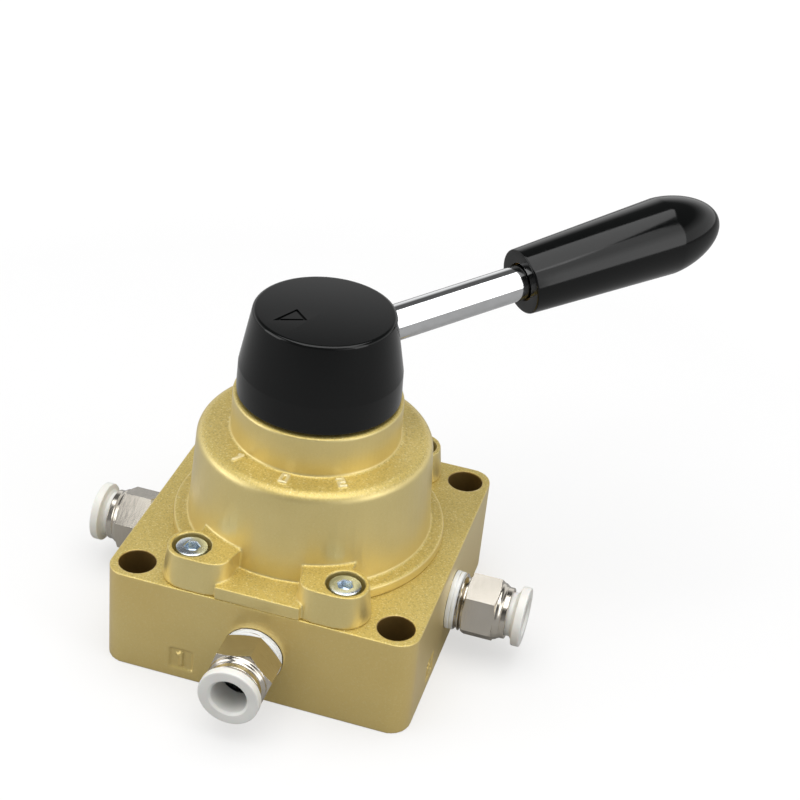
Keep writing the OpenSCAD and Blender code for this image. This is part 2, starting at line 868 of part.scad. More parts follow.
// The knob: an outer shell, a top, and a boss that fits the square of the spindle
module knob() {
    edge = 0.4;
    side = atan((knob_crease_r - knob_top_r) / (knob_h - knob_crease_h));
    top_in = knob_h - knob_top_t;
    color(black)
        difference() {
            union() {
                translate([0, 0, knob_z])
                    rotate_extrude($fn = 96)
                        polygon(concat(
                            [[knob_r - knob_wall, 0], [knob_r - edge, 0], [knob_r, edge],
                             [knob_crease_r, knob_crease_h]],
                            arc([knob_top_r - knob_edge_r, knob_h - knob_edge_r], knob_edge_r, side, 90),
                            [[0, knob_h], [0, top_in], [knob_top_r - knob_wall, top_in],
                             [knob_crease_r - knob_wall, knob_crease_h]]
                        ));
                translate([0, 0, hub_top])
                    cylinder(r = knob_boss_r, h = knob_z + top_in - hub_top + cut);
            }
            square_drive(square_hole, hub_top - cut, square_top + 2 * fit_clear);
            along_lever()
                translate([0, 0, square_w / 2])
                    cylinder(r = rod_r + 4 * fit_clear, h = knob_r + 5);
            rotate([0, 0, lever_az + 180])
                translate([0, 0, knob_top - pointer_t])
                    linear_extrude(pointer_t + cut)
                        pointer_plan();
        }
}

module lever_rod() {
    shoulder = square_w / 2 + 1;
    rod_end = grip_start + grip_recess;
    chamfer = 0.4;
    color(chrome)
        along_lever()
            rotate_extrude()
                polygon([
                    [0, 1.2 - square_w / 2], [rod_thread_r, 1.2 - square_w / 2], [rod_thread_r, shoulder],
                    [rod_r - chamfer, shoulder], [rod_r, shoulder + chamfer],
                    [rod_r, rod_end - chamfer], [rod_r - chamfer, rod_end],
                    [rod_thread_r, rod_end], [rod_thread_r, rod_end + insert_l - 2],
                    [0, rod_end + insert_l - 2]
                ]);
}

module lever_grip() {
    edge = 0.6;
    nose = grip_l - grip_nose_l;
    steps = 14;
    nose_power = 1.66;
    color(black)
        along_lever()
            translate([0, 0, grip_start])
                rotate_extrude($fn = 64)
                    polygon(concat(
                        [[grip_recess_r, grip_recess], [grip_recess_r, 0], [grip_mouth_r - edge, 0]],
                        arc([grip_mouth_r - edge, edge], edge, -60, 0, 3),
                        [for (k = [0:steps]) let (u = 1 - pow(1 - k / steps, 2))
                            [grip_max_r * sqrt(1 - pow(u, nose_power)), nose + grip_nose_l * u]],
                        [[0, grip_recess + insert_l], [insert_r, grip_recess + insert_l],
                         [insert_r, grip_recess]]
                    ));
}

module grip_insert() {
    color(brass)
        along_lever()
            translate([0, 0, grip_start + grip_recess])
                difference() {
                    cylinder(r = insert_r, h = insert_l);
                    translate([0, 0, -cut])
                        cylinder(r = rod_thread_r + fit_clear, h = insert_l - 1 + cut);
                }
}

body_block();
bonnet();
bonnet_screws();
bonnet_seal();
port_seals();
seat_bush();
spindle_bush();
stop_pin();
at_port(0) fitting_body();  // front_fitting_body
at_port(0) guide_ring();  // front_guide_ring
at_port(0) grab_ring();  // front_grab_ring
at_port(0) tube_seal();  // front_tube_seal
at_port(0) thread_seal(0);  // front_thread_seal
at_port(1) fitting_body();  // right_fitting_body
at_port(1) guide_ring();  // right_guide_ring
at_port(1) grab_ring();  // right_grab_ring
at_port(1) tube_seal();  // right_tube_seal
at_port(1) thread_seal(1);  // right_thread_seal
at_port(2) fitting_body();  // back_fitting_body
at_port(2) guide_ring();  // back_guide_ring
at_port(2) grab_ring();  // back_grab_ring
at_port(2) tube_seal();  // back_tube_seal
at_port(2) thread_seal(2);  // back_thread_seal
at_port(3) fitting_body();  // left_fitting_body
at_port(3) guide_ring();  // left_guide_ring
at_port(3) grab_ring();  // left_grab_ring
at_port(3) tube_seal();  // left_tube_seal
at_port(3) thread_seal(3);  // left_thread_seal
at_port(0) release_collar(0);  // front_release_collar
at_port(1) release_collar(1);  // right_release_collar
at_port(2) release_collar(2);  // back_release_collar
at_port(3) release_collar(3);  // left_release_collar
spindle();
rotor_disc();
pressure_spring();
thrust_washer();
spindle_seal();
detent_hub();
detent_springs();
detent_ball(0);  // detent_ball_a
detent_ball(180);  // detent_ball_b
knob();
lever_rod();
lever_grip();
grip_insert();
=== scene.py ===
# %% [markdown]
# # A hand rotary valve
#
# The valve is a square cast block with a round cast bonnet, four push-in tube fittings, and a black
# knob with a chromed lever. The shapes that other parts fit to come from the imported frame, and this
# script dresses them: it gives the castings their soft edges, cuts real threads and hexagons, and
# makes a finish for every surface. Everything is in metres, in the frame's own coordinates.

# %% Load the frame and measure it
import math

import bmesh
import bpy
from mathutils import Matrix, Quaternion, Vector, noise


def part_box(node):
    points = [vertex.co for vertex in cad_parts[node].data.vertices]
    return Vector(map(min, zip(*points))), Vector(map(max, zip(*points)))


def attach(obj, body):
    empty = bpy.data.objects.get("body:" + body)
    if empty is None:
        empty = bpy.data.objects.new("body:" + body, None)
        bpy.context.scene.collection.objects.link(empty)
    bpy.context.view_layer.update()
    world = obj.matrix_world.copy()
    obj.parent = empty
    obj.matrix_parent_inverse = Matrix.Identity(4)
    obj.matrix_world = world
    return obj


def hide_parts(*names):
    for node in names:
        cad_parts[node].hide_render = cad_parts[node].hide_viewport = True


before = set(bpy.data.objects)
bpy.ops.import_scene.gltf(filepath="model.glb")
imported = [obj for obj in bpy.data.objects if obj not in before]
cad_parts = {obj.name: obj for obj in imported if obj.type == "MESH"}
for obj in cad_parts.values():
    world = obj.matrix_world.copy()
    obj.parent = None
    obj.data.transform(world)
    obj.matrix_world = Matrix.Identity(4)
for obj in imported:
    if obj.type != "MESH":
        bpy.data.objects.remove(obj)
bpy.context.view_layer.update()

MM = 0.001

# %% [markdown]
# ## Camera
#
# The photograph was taken with a long lens from above, a little to the right of the front. A long
# lens keeps parallel edges nearly parallel, so the block looks almost like a drawing. The camera's
# place and direction were solved from corners and circles whose real positions are known, which is
# steadier than moving a camera by eye. The last turn levels the small roll of the picture.

# %% Put the camera where the photographer stood
camera_place = Vector((0.0902457, -0.3138349, 0.2625758))
camera_forward = Vector((-0.19000608, 0.82628284, -0.5302399))
camera_roll = math.radians(6.148)

camera = bpy.data.objects.new("camera", bpy.data.cameras.new("camera"))
camera.data.sensor_width = 36
camera.data.lens = 79.937
camera.data.clip_start = 0.01
camera.location = camera_place
camera.rotation_mode = "QUATERNION"
level = camera_forward.to_track_quat("-Z", "Y")
camera.rotation_quaternion = level @ Quaternion((0, 0, 1), camera_roll)
bpy.context.scene.collection.objects.link(camera)
bpy.context.scene.camera = camera
bpy.context.scene.view_settings.view_transform = "Standard"
print("Camera looks down by", round(math.degrees(math.asin(-camera_forward.z)), 1), "degrees")

# %% [markdown]
# ## Node helpers
#
# Every finish here is a small tree of nodes on one Principled shader. Three helpers keep the trees
# short: one makes a node and sets its sockets by name, one makes a noise of a real grain size in
# millimetres, and one spreads a noise between two values. A constant that is the same all over a
# surface is set on the shader's own socket.

# %% Helpers for nodes
def add_node(tree, kind, links=None, **values):
    """A node of this kind, with its sockets set by name, or linked to other nodes' outputs."""
    made = tree.nodes.new(kind)
    for name, value in values.items():
        setattr(made, name, value)
    for socket, value in (links or {}).items():
        if isinstance(value, bpy.types.NodeSocket):
            tree.links.new(value, made.inputs[socket])
        else:
            made.inputs[socket].default_value = value
    return made


def grain(tree, size_mm, stretch=(1, 1, 1), detail=3):
    """Noise on the piece's own coordinates, whose blobs are about size_mm across."""
    place = add_node(tree, "ShaderNodeTexCoord")
    scaled = add_node(tree, "ShaderNodeMapping", {
        "Vector": place.outputs["Object"], "Scale": [s / (size_mm * MM) for s in stretch]})
    made = add_node(tree, "ShaderNodeTexNoise", {
        "Vector": scaled.outputs["Vector"], "Scale": 0.5, "Detail": detail, "Roughness": 0.6})
    return made.outputs["Fac"]


def spread(tree, value, low, high, start=0.3, end=0.7):
    """The value's middle range, spread from low to high."""
    made = add_node(tree, "ShaderNodeMapRange", {
        "Value": value, "From Min": start, "From Max": end, "To Min": low, "To Max": high})
    return made.outputs["Result"]


def blend_colours(tree, amount, first, second):
    """One colour where the amount is 0, the other where it is 1."""
    made = add_node(tree, "ShaderNodeMix", data_type="RGBA")
    tree.links.new(amount, made.inputs["Factor"])
    for socket, value in ((made.inputs[6], first), (made.inputs[7], second)):
        if isinstance(value, bpy.types.NodeSocket):
            tree.links.new(value, socket)
        else:
            socket.default_value = (*value, 1)
    return made.outputs[2]


def linear(red, green, blue):
    """A colour read from a screen, 0 to 255, as the shader's own linear numbers."""
    parts = [c / 255 for c in (red, green, blue)]
    return tuple(c / 12.92 if c <= 0.04045 else ((c + 0.055) / 1.055) ** 2.4 for c in parts)


def finish(name, **sockets):
    """A new material with its Principled shader's constant sockets set."""
    made = bpy.data.materials.new(name)
    made.use_nodes = True
    shader = made.node_tree.nodes["Principled BSDF"]
    for socket, value in sockets.items():
        shader.inputs[socket.replace("_", " ")].default_value = value
    return made, made.node_tree, shader


def roughen(tree, shader, height, depth_mm, strength=1.0):
    """Small bumps of a real depth, from a noise."""
    bump = add_node(tree, "ShaderNodeBump", {
        "Height": height, "Distance": depth_mm * MM, "Strength": strength})
    tree.links.new(bump.outputs["Normal"], shader.inputs["Normal"])
    return bump


print("Node helpers are ready")

# %% [markdown]
# ## Studio
#
# The photograph shows a white sweep with a faint soft shadow, and the shiny pieces work like
# mirrors that tell where its lights are. The rod shows a softbox overhead, a tall one to the
# right and a dark room high up behind. The hexagons show that the overhead softbox reaches to the
# front, that the table is grey, and that the photographer's side is dark. The two pale bands on
# the dome are the softboxes to its left and right. So the world is a white sweep behind and beside
# the valve with a dark room above and in front of it for reflections, plain grey for soft light,
# and white for the camera. The lamps are real area lamps, because gloss needs something with a
# shape to reflect. The table is grey to reflections and glows for the camera, a little more
# farther out where the lamps reach less, which keeps the shadow and makes the rest white.

# %% White for the camera, a studio for the metal
sweep_top = 0.33
room_start = 0.60
room_level = 0.12
front_level = 0.22
front_start, front_end = -0.55, -0.85
soft_light = 0.62

world = bpy.data.worlds.new("studio")
bpy.context.scene.world = world
world.use_nodes = True
sky = world.node_tree
direction = add_node(sky, "ShaderNodeTexCoord").outputs["Generated"]
split = add_node(sky, "ShaderNodeSeparateXYZ", {"Vector": direction}).outputs
sweep = spread(sky, split["Y"], front_level, 1.0, front_end, front_start)
dimming = spread(sky, split["Z"], 1.0, room_level, sweep_top, room_start)
ray = add_node(sky, "ShaderNodeLightPath").outputs


def light_math(tree, operation, first, second):
    """One step of arithmetic between two values or outputs."""
    return add_node(tree, "ShaderNodeMath", {0: first, 1: second}, operation=operation).outputs[0]


def choose(tree, switch, when_on, when_off):
    """when_on where the switch is 1, otherwise when_off."""
    made = add_node(tree, "ShaderNodeMix", {0: switch, 2: when_off, 3: when_on})
    return made.outputs[0]


backdrop = light_math(sky, "MULTIPLY", sweep, dimming)
shiny = light_math(sky, "MAXIMUM", ray["Is Glossy Ray"], ray["Is Transmission Ray"])
strength = choose(sky, shiny, backdrop, soft_light)
strength = choose(sky, ray["Is Camera Ray"], 1.0, strength)
background = sky.nodes["Background"]
background.inputs["Color"].default_value = (1, 1, 1, 1)
sky.links.new(strength, background.inputs["Strength"])
print("World is white to the camera and", soft_light, "as soft light")

# %% The table: white to the camera, and it keeps the shadow
floor_colour = 0.32
near_glow, far_glow = 0.57, 0.83
glow_near, glow_far = 0.18, 0.60
reflected_glow = 0.04
floor_size = 8.0

floor_mesh = bpy.data.meshes.new("table")
half = floor_size / 2
floor_mesh.from_pydata([(-half, -half, 0), (half, -half, 0), (half, half, 0), (-half, half, 0)],
                       [], [(0, 1, 2, 3)])
floor = bpy.data.objects.new("table", floor_mesh)
bpy.context.scene.collection.objects.link(floor)
floor_finish, tree, shader = finish("table_white", Roughness=0.9, Specular_IOR_Level=0.0)
shader.inputs["Base Color"].default_value = (floor_colour, floor_colour, floor_colour, 1)
shader.inputs["Emission Color"].default_value = (1, 1, 1, 1)
ray = add_node(tree, "ShaderNodeLightPath").outputs
seen = light_math(tree, "MAXIMUM", ray["Is Glossy Ray"], ray["Is Transmission Ray"])
seen = light_math(tree, "MULTIPLY", seen, reflected_glow)
seen = light_math(tree, "MAXIMUM", seen, ray["Is Camera Ray"])
spot = add_node(tree, "ShaderNodeTexCoord").outputs["Object"]
distance = add_node(tree, "ShaderNodeVectorMath", {0: spot}, operation="LENGTH").outputs["Value"]
glow = spread(tree, distance, near_glow, far_glow, glow_near, glow_far)
tree.links.new(light_math(tree, "MULTIPLY", seen, glow), shader.inputs["Emission Strength"])
floor_mesh.materials.append(floor_finish)
print("Table is", floor_size, "m wide")

# %% The softboxes
# Each row: name, middle of the lamp, what it faces, width and height, and how bright its face is.
subject = Vector((0, 0, 0.04))
softboxes = [
    ("overhead", (0.03, -0.06, 0.76), subject, (0.84, 0.74), 2.5),
    ("right_side", (0.82, -0.22, 0.47), subject, (0.38, 1.00), 1.6),
    ("left_side", (-0.80, -0.38, 0.38), subject, (0.55, 0.75), 1.75),
]
for name, where, target, size, face in softboxes:
    lamp = bpy.data.lights.new(name, "AREA")
    lamp.shape = "RECTANGLE"
    lamp.size, lamp.size_y = size
    lamp.energy = face * math.pi * size[0] * size[1]
    holder = bpy.data.objects.new(name, lamp)
    holder.location = where
    holder.rotation_mode = "QUATERNION"
    holder.rotation_quaternion = (target - Vector(where)).to_track_quat("-Z", "Y")
    bpy.context.scene.collection.objects.link(holder)
    print(name, "softbox,", round(lamp.energy, 2), "W")

# %% [markdown]
# ## Gold casting
#
# The block and bonnet are zinc or aluminium castings with a champagne metallic coat. Up close it is
# a fine speckle: grains of metal in the coat, a fifth of a millimetre across, over a slightly wavy
# skin. Its colour is painted by where a face looks: upright faces are smooth and get a paler tone, a
# painted sheen, and faces that look up are grainier, rougher and a deeper yellow. The height part of
# the surface's direction tells which is which. Two sizes of noise give speckle and cloudiness, and a
# very low bump breaks up the highlights. The block's coat is warmer in patches than the bonnet's. The
# raised numbers on the shoulder are painted paler, and the walls of the four mounting holes are painted
# darker, a painted shade. Masks for these are made from the place on the piece, in the frame's metres.

# %% Champagne coat: where the faces look, and the two tones, the paler one a painted sheen
def vector_math(tree, operation, first, second=(0, 0, 0), output="Vector"):
    """One step of arithmetic between two vectors."""
    made = add_node(tree, "ShaderNodeVectorMath", {0: first, 1: second}, operation=operation)
    return made.outputs[output]


speckle_mm, pit_mm, cloud_mm, patch_mm = 0.20, 0.22, 9.0, 16
gold, tree, shader = finish("champagne_coat", Metallic=0.75, Coat_Weight=0.65, Coat_Roughness=0.32)
speckle = grain(tree, speckle_mm, detail=2)
clouds = spread(tree, grain(tree, cloud_mm, detail=2), 0, 1)
place_and_normal = add_node(tree, "ShaderNodeTexCoord").outputs
upward = add_node(tree, "ShaderNodeSeparateXYZ", {"Vector": place_and_normal["Normal"]}).outputs["Z"]
height = add_node(tree, "ShaderNodeSeparateXYZ", {"Vector": place_and_normal["Object"]}).outputs["Z"]
# Faces that look up keep a deeper yellow and more grain; upright faces get a paler tone, a painted
# sheen.
up_facing = spread(tree, upward, 0.0, 1.0, 0.45, 0.90)
sheen_side_tone = blend_colours(tree, clouds, linear(225, 206, 138), linear(235, 217, 150))
up_facing_tone = blend_colours(tree, clouds, linear(210, 187, 102), linear(220, 198, 116))
print("Grains of metal are", speckle_mm, "mm across")

# %% Champagne coat: warmer patches on the block, bright flecks and dark pits
block_top = 0.0243
on_block = spread(tree, height, 0.75, 0.12, block_top - 0.3 * MM, block_top + 0.3 * MM)
patches = light_math(tree, "MULTIPLY", on_block, spread(tree, grain(tree, patch_mm, detail=1), 0.4, 1.0))
sheen_side_tone = blend_colours(tree, patches, sheen_side_tone, linear(224, 194, 112))
base = blend_colours(tree, up_facing, sheen_side_tone, up_facing_tone)
flecks = light_math(tree, "MULTIPLY", spread(tree, speckle, 0.0, 0.8, 0.54, 0.70),
                    spread(tree, up_facing, 0.3, 1.0, 0.0, 1.0))
base = blend_colours(tree, flecks, base, linear(240, 228, 172))
pits = spread(tree, grain(tree, pit_mm, detail=2), 0.0, 0.45, 0.50, 0.70)
pits = light_math(tree, "MULTIPLY", pits, spread(tree, up_facing, 0.1, 1.0, 0.0, 1.0))
base = blend_colours(tree, pits, base, linear(150, 130, 62))
print("Block's top is at", block_top / MM, "mm")

# %% Champagne coat: paler numbers, painted shade in the holes, and the dullness
shoulder_height = 49.0
numbers_start, numbers_end = 19.1, 23.2
hole_place, hole_radius = 29.25, 4.03
flat = (1, 1, 0)
from_middle = vector_math(tree, "ABSOLUTE", place_and_normal["Object"])
from_axis = vector_math(tree, "LENGTH", vector_math(tree, "MULTIPLY", from_middle, flat), output="Value")
# The tops of the raised numbers on the shoulder are painted paler than the coat around them.
raised = spread(tree, height, 0.0, 0.65, (shoulder_height + 0.2) * MM, (shoulder_height + 0.4) * MM)
off_neck = spread(tree, from_axis, 0.0, 1.0, (numbers_start - 0.1) * MM, (numbers_start + 0.1) * MM)
base = blend_colours(tree, light_math(tree, "MULTIPLY", raised, off_neck), base, linear(250, 242, 206))
# The walls of the four mounting holes are painted darker: a painted shade in the holes.
from_hole = vector_math(tree, "SUBTRACT", from_middle, (hole_place * MM, hole_place * MM, 0))
from_hole = vector_math(tree, "LENGTH", vector_math(tree, "MULTIPLY", from_hole, flat), output="Value")
hole_shade = spread(tree, from_hole, 1.0, 0.0, (hole_radius + 0.02) * MM, (hole_radius + 0.25) * MM)
base = blend_colours(tree, hole_shade, base, linear(150, 122, 68))
tree.links.new(base, shader.inputs["Base Color"])
dullness = light_math(tree, "ADD", spread(tree, speckle, 0.36, 0.46),
                      spread(tree, up_facing, 0.0, 0.12, 0.0, 1.0))
tree.links.new(dullness, shader.inputs["Roughness"])
roughen(tree, shader, speckle, 0.012, 0.6)
print("Champagne coat made")

# %% [markdown]
# ## Plated and bare metals
#
# The fittings are brass plated with nickel, a warm grey with a low shine and fine turning lines.
# The screws are zinc plated, bluish and cloudy. The rod is chromed, which hides nearly all of the
# steel's grain. The inner parts are brass, bronze, ground steel and machined aluminium. They differ
# in colour, in roughness, and in how far their lines are drawn out, so one function makes them all.

# %% One function for the metals
def metal(name, dark, light, rough, line_mm, stretch, depth_mm):
    """A metal with fine lines: two tones, a range of roughness, and the lines' size and depth."""
    made, tree, shader = finish(name, Metallic=1.0)
    lines = grain(tree, line_mm, stretch, detail=4)
    stains = grain(tree, 3.0, detail=2)
    tone = light_math(tree, "MULTIPLY", spread(tree, lines, 0.6, 1.0), spread(tree, stains, 0.7, 1.0))
    tree.links.new(blend_colours(tree, tone, dark, light), shader.inputs["Base Color"])
    tree.links.new(spread(tree, lines, rough[0], rough[1]), shader.inputs["Roughness"])
    roughen(tree, shader, lines, depth_mm, 0.5)
    return made


along_axis = (1, 1, 9)
even = (1, 1, 1)
nickel = metal("nickel_plate", linear(188, 181, 169), linear(212, 206, 195), (0.15, 0.23),
               0.5, (0.5, 0.5, 4), 0.0001)
zinc = metal("zinc_plate", linear(184, 200, 218), linear(236, 244, 250), (0.18, 0.30),
             0.4, even, 0.004)
chrome = metal("chrome_plate", linear(204, 205, 206), linear(228, 229, 230), (0.05, 0.09),
               1.5, even, 0.0005)
steel = metal("ground_steel", linear(130, 132, 136), linear(178, 180, 184), (0.22, 0.38),
              0.4, along_axis, 0.003)
bronze = metal("sintered_bronze", linear(120, 84, 44), linear(190, 146, 88), (0.38, 0.55),
               0.2, even, 0.006)
brass = metal("turned_brass", linear(176, 134, 62), linear(226, 190, 112), (0.20, 0.32),
              0.4, along_axis, 0.003)
alloy = metal("machined_aluminium", linear(150, 152, 156), linear(206, 208, 212), (0.28, 0.44),
              0.3, along_axis, 0.004)
print("Metals made:", [m.name for m in (nickel, zinc, chrome, steel, bronze, brass, alloy)])

# %% [markdown]
# ## Plastics and rubber
#
# The knob and grip are moulded black plastic, polished in the mould: nearly black, with a sharp
# reflection that the slightest waviness bends. Its gloss is held a little below the usual level,
# because the room it stood in was dim. The collars are white engineering plastic, which lets a
# little light into it. The thread sealant is a dried white paste, and the seals are black rubber.

# %% One function for the moulded and rubber finishes
def moulded(name, dark, light, rough, grain_mm, depth_mm, **sockets):
    """A non-metal with faint mottling, a range of roughness and small bumps."""
    made, tree, shader = finish(name, **sockets)
    fine = grain(tree, grain_mm, detail=3)
    broad = grain(tree, 12 * grain_mm, detail=2)
    mottling = blend_colours(tree, spread(tree, broad, 0, 1), dark, light)
    tree.links.new(mottling, shader.inputs["Base Color"])
    tree.links.new(spread(tree, fine, rough[0], rough[1]), shader.inputs["Roughness"])
    roughen(tree, shader, fine, depth_mm, 0.5)
    return made


black_gloss = moulded("black_gloss_plastic", linear(4, 5, 5), linear(7, 8, 8), (0.08, 0.13), 1.0, 0.0008,
                      Specular_IOR_Level=0.33)
white_plastic = moulded("white_plastic", linear(217, 216, 211), linear(230, 230, 226), (0.30, 0.42),
                        0.5, 0.003, Subsurface_Weight=0.08, Subsurface_Scale=0.0006)
sealant = moulded("dried_sealant", linear(214, 218, 221), linear(236, 239, 241), (0.55, 0.75), 0.3, 0.03)
rubber = moulded("seal_rubber", linear(20, 20, 20), linear(34, 34, 34), (0.45, 0.60), 0.2, 0.004)
print("Plastics made")

# %% [markdown]
# ## Castings
#
# A casting has no sharp edge anywhere: the metal fills the mould with small rounds outside and
# small fillets inside. Bevelling each edge of such a shape by hand is slow and breaks where bosses
# meet the dome. Instead the frame's own solid is copied, turned into a skin of even cells a
# fraction of a millimetre wide, and smoothed a few times, which rounds every edge by the same small
# amount and leaves flat faces flat. The numbers are kept out of the smoothing, or they would
# melt away. Cells that no longer carry shape are then merged.

# %% A helper that fixes what the modifiers make
def keep_result(piece):
    """Replace the mesh by what its modifiers make of it."""
    piece.data = bpy.data.meshes.new_from_object(
        piece.evaluated_get(bpy.context.evaluated_depsgraph_get()))
    piece.modifiers.clear()


def shade(piece, angle):
    """Smooth shading, with a hard line only where faces meet at more than this angle."""
    piece.data.shade_smooth()
    piece.data.set_sharp_from_angle(angle=math.radians(angle))


def place(piece, material, slot, body, *nodes):
    """Give the piece its finish, its body, and the frame's nodes that it stands for."""
    piece.data.materials.clear()
    piece.data.materials.append(material)
    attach(piece, body)
    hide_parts(*nodes)
    print(piece.name, "has", len(piece.data.polygons), "faces")


# %% The block and the bonnet as castings
def cast(node, name, cell_mm, smoothing, keep, crisp=None):
    """A soft-edged copy of one of the frame's solids, where crisp(point) says what stays sharp."""
    piece = bpy.data.objects.new(name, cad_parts[node].data.copy())
    bpy.context.scene.collection.objects.link(piece)
    skin = piece.modifiers.new("skin", "REMESH")
    skin.mode, skin.voxel_size = "VOXEL", cell_mm * MM
    keep_result(piece)
    softened = piece.vertex_groups.new(name="softened")
    soft_points = [v.index for v in piece.data.vertices if not (crisp and crisp(v.co / MM))]
    softened.add(soft_points, 1.0, "REPLACE")
    soft = piece.modifiers.new("soft", "SMOOTH")
    soft.factor, soft.iterations, soft.vertex_group = 0.5, smoothing, softened.name
    thin = piece.modifiers.new("thin", "DECIMATE")
    thin.ratio = keep
    keep_result(piece)
    shade(piece, 60)
    place(piece, gold, "gold_casting", "valve_body", node)
    return piece


def raised_number(point):
    """The numbers on the shoulder are cut sharper in the mould than its edges are."""
    above_shoulder = shoulder_height + 0.02 < point.z < shoulder_height + 0.8
    return above_shoulder and numbers_start + 0.15 < point.xy.length < numbers_end


label_place, label_height, label_half, face_place = 16.4, 5.3, 2.3, 34.3


def port_number(point):
    """The numbers that stand in the recesses beside the ports are sharp too."""
    near, far = sorted((abs(point.x), abs(point.y)))
    beside = abs(near - label_place) < label_half
    level_with = abs(point.z - label_height) < label_half
    return far > face_place and beside and level_with


cell = 0.24
cast("body_block", "cast_block", cell, 5, 0.35, port_number)
cast("bonnet", "cast_bonnet", cell, 4, 0.45, raised_number)

# %% [markdown]
# ## Turned pieces
#
# Fittings, collars, knob, rod and grip are all made on a lathe or in a round mould. One helper turns
# a closed outline about an axis. The outline is a list of corners with a radius for each, so an edge
# can be as soft as the real one. A second function may change the radius by angle and height: that
# is how a thread winds, how a hexagon gets its flats, and how a screw's head gets its knurl.

# %% The lathe
def outline(corners, steps=5):
    """Corners of (radius, height, rounding) in mm as a list of points, each corner rounded."""
    points = []
    for i, (r, z, rounding) in enumerate(corners):
        corner = Vector((r, z))
        before = (Vector(corners[i - 1][:2]) - corner).normalized()
        after = (Vector(corners[(i + 1) % len(corners)][:2]) - corner).normalized()
        if not rounding:
            points.append(corner)
            continue
        reach = rounding / math.tan(before.angle(after) / 2)
        start, end = corner + before * reach, corner + after * reach
        for k in range(steps + 1):
            t = k / steps
            points.append(start * (1 - t) ** 2 + corner * (2 * t * (1 - t)) + end * t ** 2)
    return points


def turned(name, points, shape=None, turn=None, steps=144, sharp=35):
    """Turn a closed outline about Z. shape(angle, radius, height) may change a point's radius."""
    bm = bmesh.new()
    rings = []
    for k in range(steps):
        angle = 2 * math.pi * k / steps
        ring = []
        for r, z in points:
            radius = shape(angle, r, z) if shape and r > 0 else r
            ring.append(bm.verts.new((radius * MM * math.cos(angle),
                                      radius * MM * math.sin(angle), z * MM)))
        rings.append(ring)
    count = len(points)
    for k in range(steps):
        near, far = rings[k], rings[(k + 1) % steps]
        for i in range(count):
            j = (i + 1) % count
            if points[i][0] > 0 or points[j][0] > 0:
                bm.faces.new((near[i], far[i], far[j], near[j]))
    bmesh.ops.remove_doubles(bm, verts=bm.verts, dist=1e-7)
    bmesh.ops.dissolve_degenerate(bm, edges=bm.edges, dist=1e-8)
    bmesh.ops.recalc_face_normals(bm, faces=bm.faces)
    mesh = bpy.data.meshes.new(name)
    bm.to_mesh(mesh)
    bm.free()
    piece = bpy.data.objects.new(name, mesh)
    bpy.context.scene.collection.objects.link(piece)
    if turn:
        piece.matrix_world = turn
    shade(piece, sharp)
    return piece


def settle(piece, turn):
    """Move the mesh itself, so that the piece's own coordinates are the frame's again."""
    piece.data.transform(turn)
    piece.matrix_world = Matrix()


rounded_square = outline([(1, 0, 0.1), (2, 0, 0.1), (2, 1, 0.1), (1, 1, 0.1)])
print("Lathe ready; a rounded square has", len(rounded_square), "points")

# %% [markdown]
# ## Push-in fittings
#
# Each fitting screws into a port: a tapered-looking thread with white sealant on it, a hexagon for
# the spanner with its corners chamfered at both ends, and a rounded shoulder that ends in the mouth.
# No two stop at the same turn, so each hexagon points its own way and each sits at its own depth,
# which is read from the frame. The hexagon is a turned outline whose radius is held to the flats.

# %% Where each port's fitting sits
port_directions = {"front": -90, "right": 0, "back": 90, "left": 180}
hexagon_turn = {"front": 42, "right": 45, "back": 8, "left": 51}
thread_length = 9.0


def fitting_place(side):
    """The fitting's own frame: Z runs outwards, and 0 is where the block's face would be."""
    low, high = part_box(side + "_fitting_body")
    outwards = Vector((math.cos(math.radians(port_directions[side])),
                       math.sin(math.radians(port_directions[side])), 0))
    inner_end = min(low.dot(outwards), high.dot(outwards)) + thread_length * MM
    middle = (low + high) / 2
    return (Matrix.Translation(outwards * inner_end + Vector((0, 0, middle.z)))
            @ Matrix.Rotation(math.radians(port_directions[side]), 4, "Z")
            @ Matrix.Rotation(math.radians(90), 4, "Y")
            @ Matrix.Rotation(math.radians(hexagon_turn[side]), 4, "Z"))


for side in port_directions:
    print(side, "fitting at", [round(v / MM, 2) for v in fitting_place(side).translation])

# %% The fitting's body: thread, hexagon, shoulder and mouth
flats = 13.2
corner_radius = flats / 2 / math.cos(math.radians(30))
hexagon_start, hexagon_end = 3.7, 11.0
chamfer = 0.42
mouth_end, mouth_radius = 13.6, 5.85
shoulder_radius, shoulder_round = 6.5, 1.2
ring_start = 12.3
thread_crest, thread_depth, thread_pitch = 6.55, 0.8, 1.337
thread_end = 3.2
tooth_width = 2.5
cavity_radius, cavity_floor = 5.4, 6.3
socket_radius, socket_floor = 4.1, 1.5
air_way = 3.0


def fitting_shape(angle, r, z):
    """Wind the thread, and hold the hexagon's part of the outline to six flats."""
    if r > thread_crest - 0.01 and z < thread_end:
        phase = (z / thread_pitch - angle / (2 * math.pi)) % 1.0
        tooth = min(1.0, max(0.0, (0.5 - abs(phase - 0.5)) * tooth_width))
        return r - thread_depth * (1 - tooth)
    if hexagon_start <= z <= hexagon_end and r > flats / 2 - 0.2:
        sector = (angle + math.pi / 6) % (math.pi / 3) - math.pi / 6
        return min(r, flats / 2 / math.cos(math.pi / 6 - abs(sector)))
    return r


def rows(r0, z0, r1, z1, count):
    """Points along a straight stretch, without its last one."""
    return [Vector((r0 + (r1 - r0) * k / count, z0 + (z1 - z0) * k / count)) for k in range(count)]


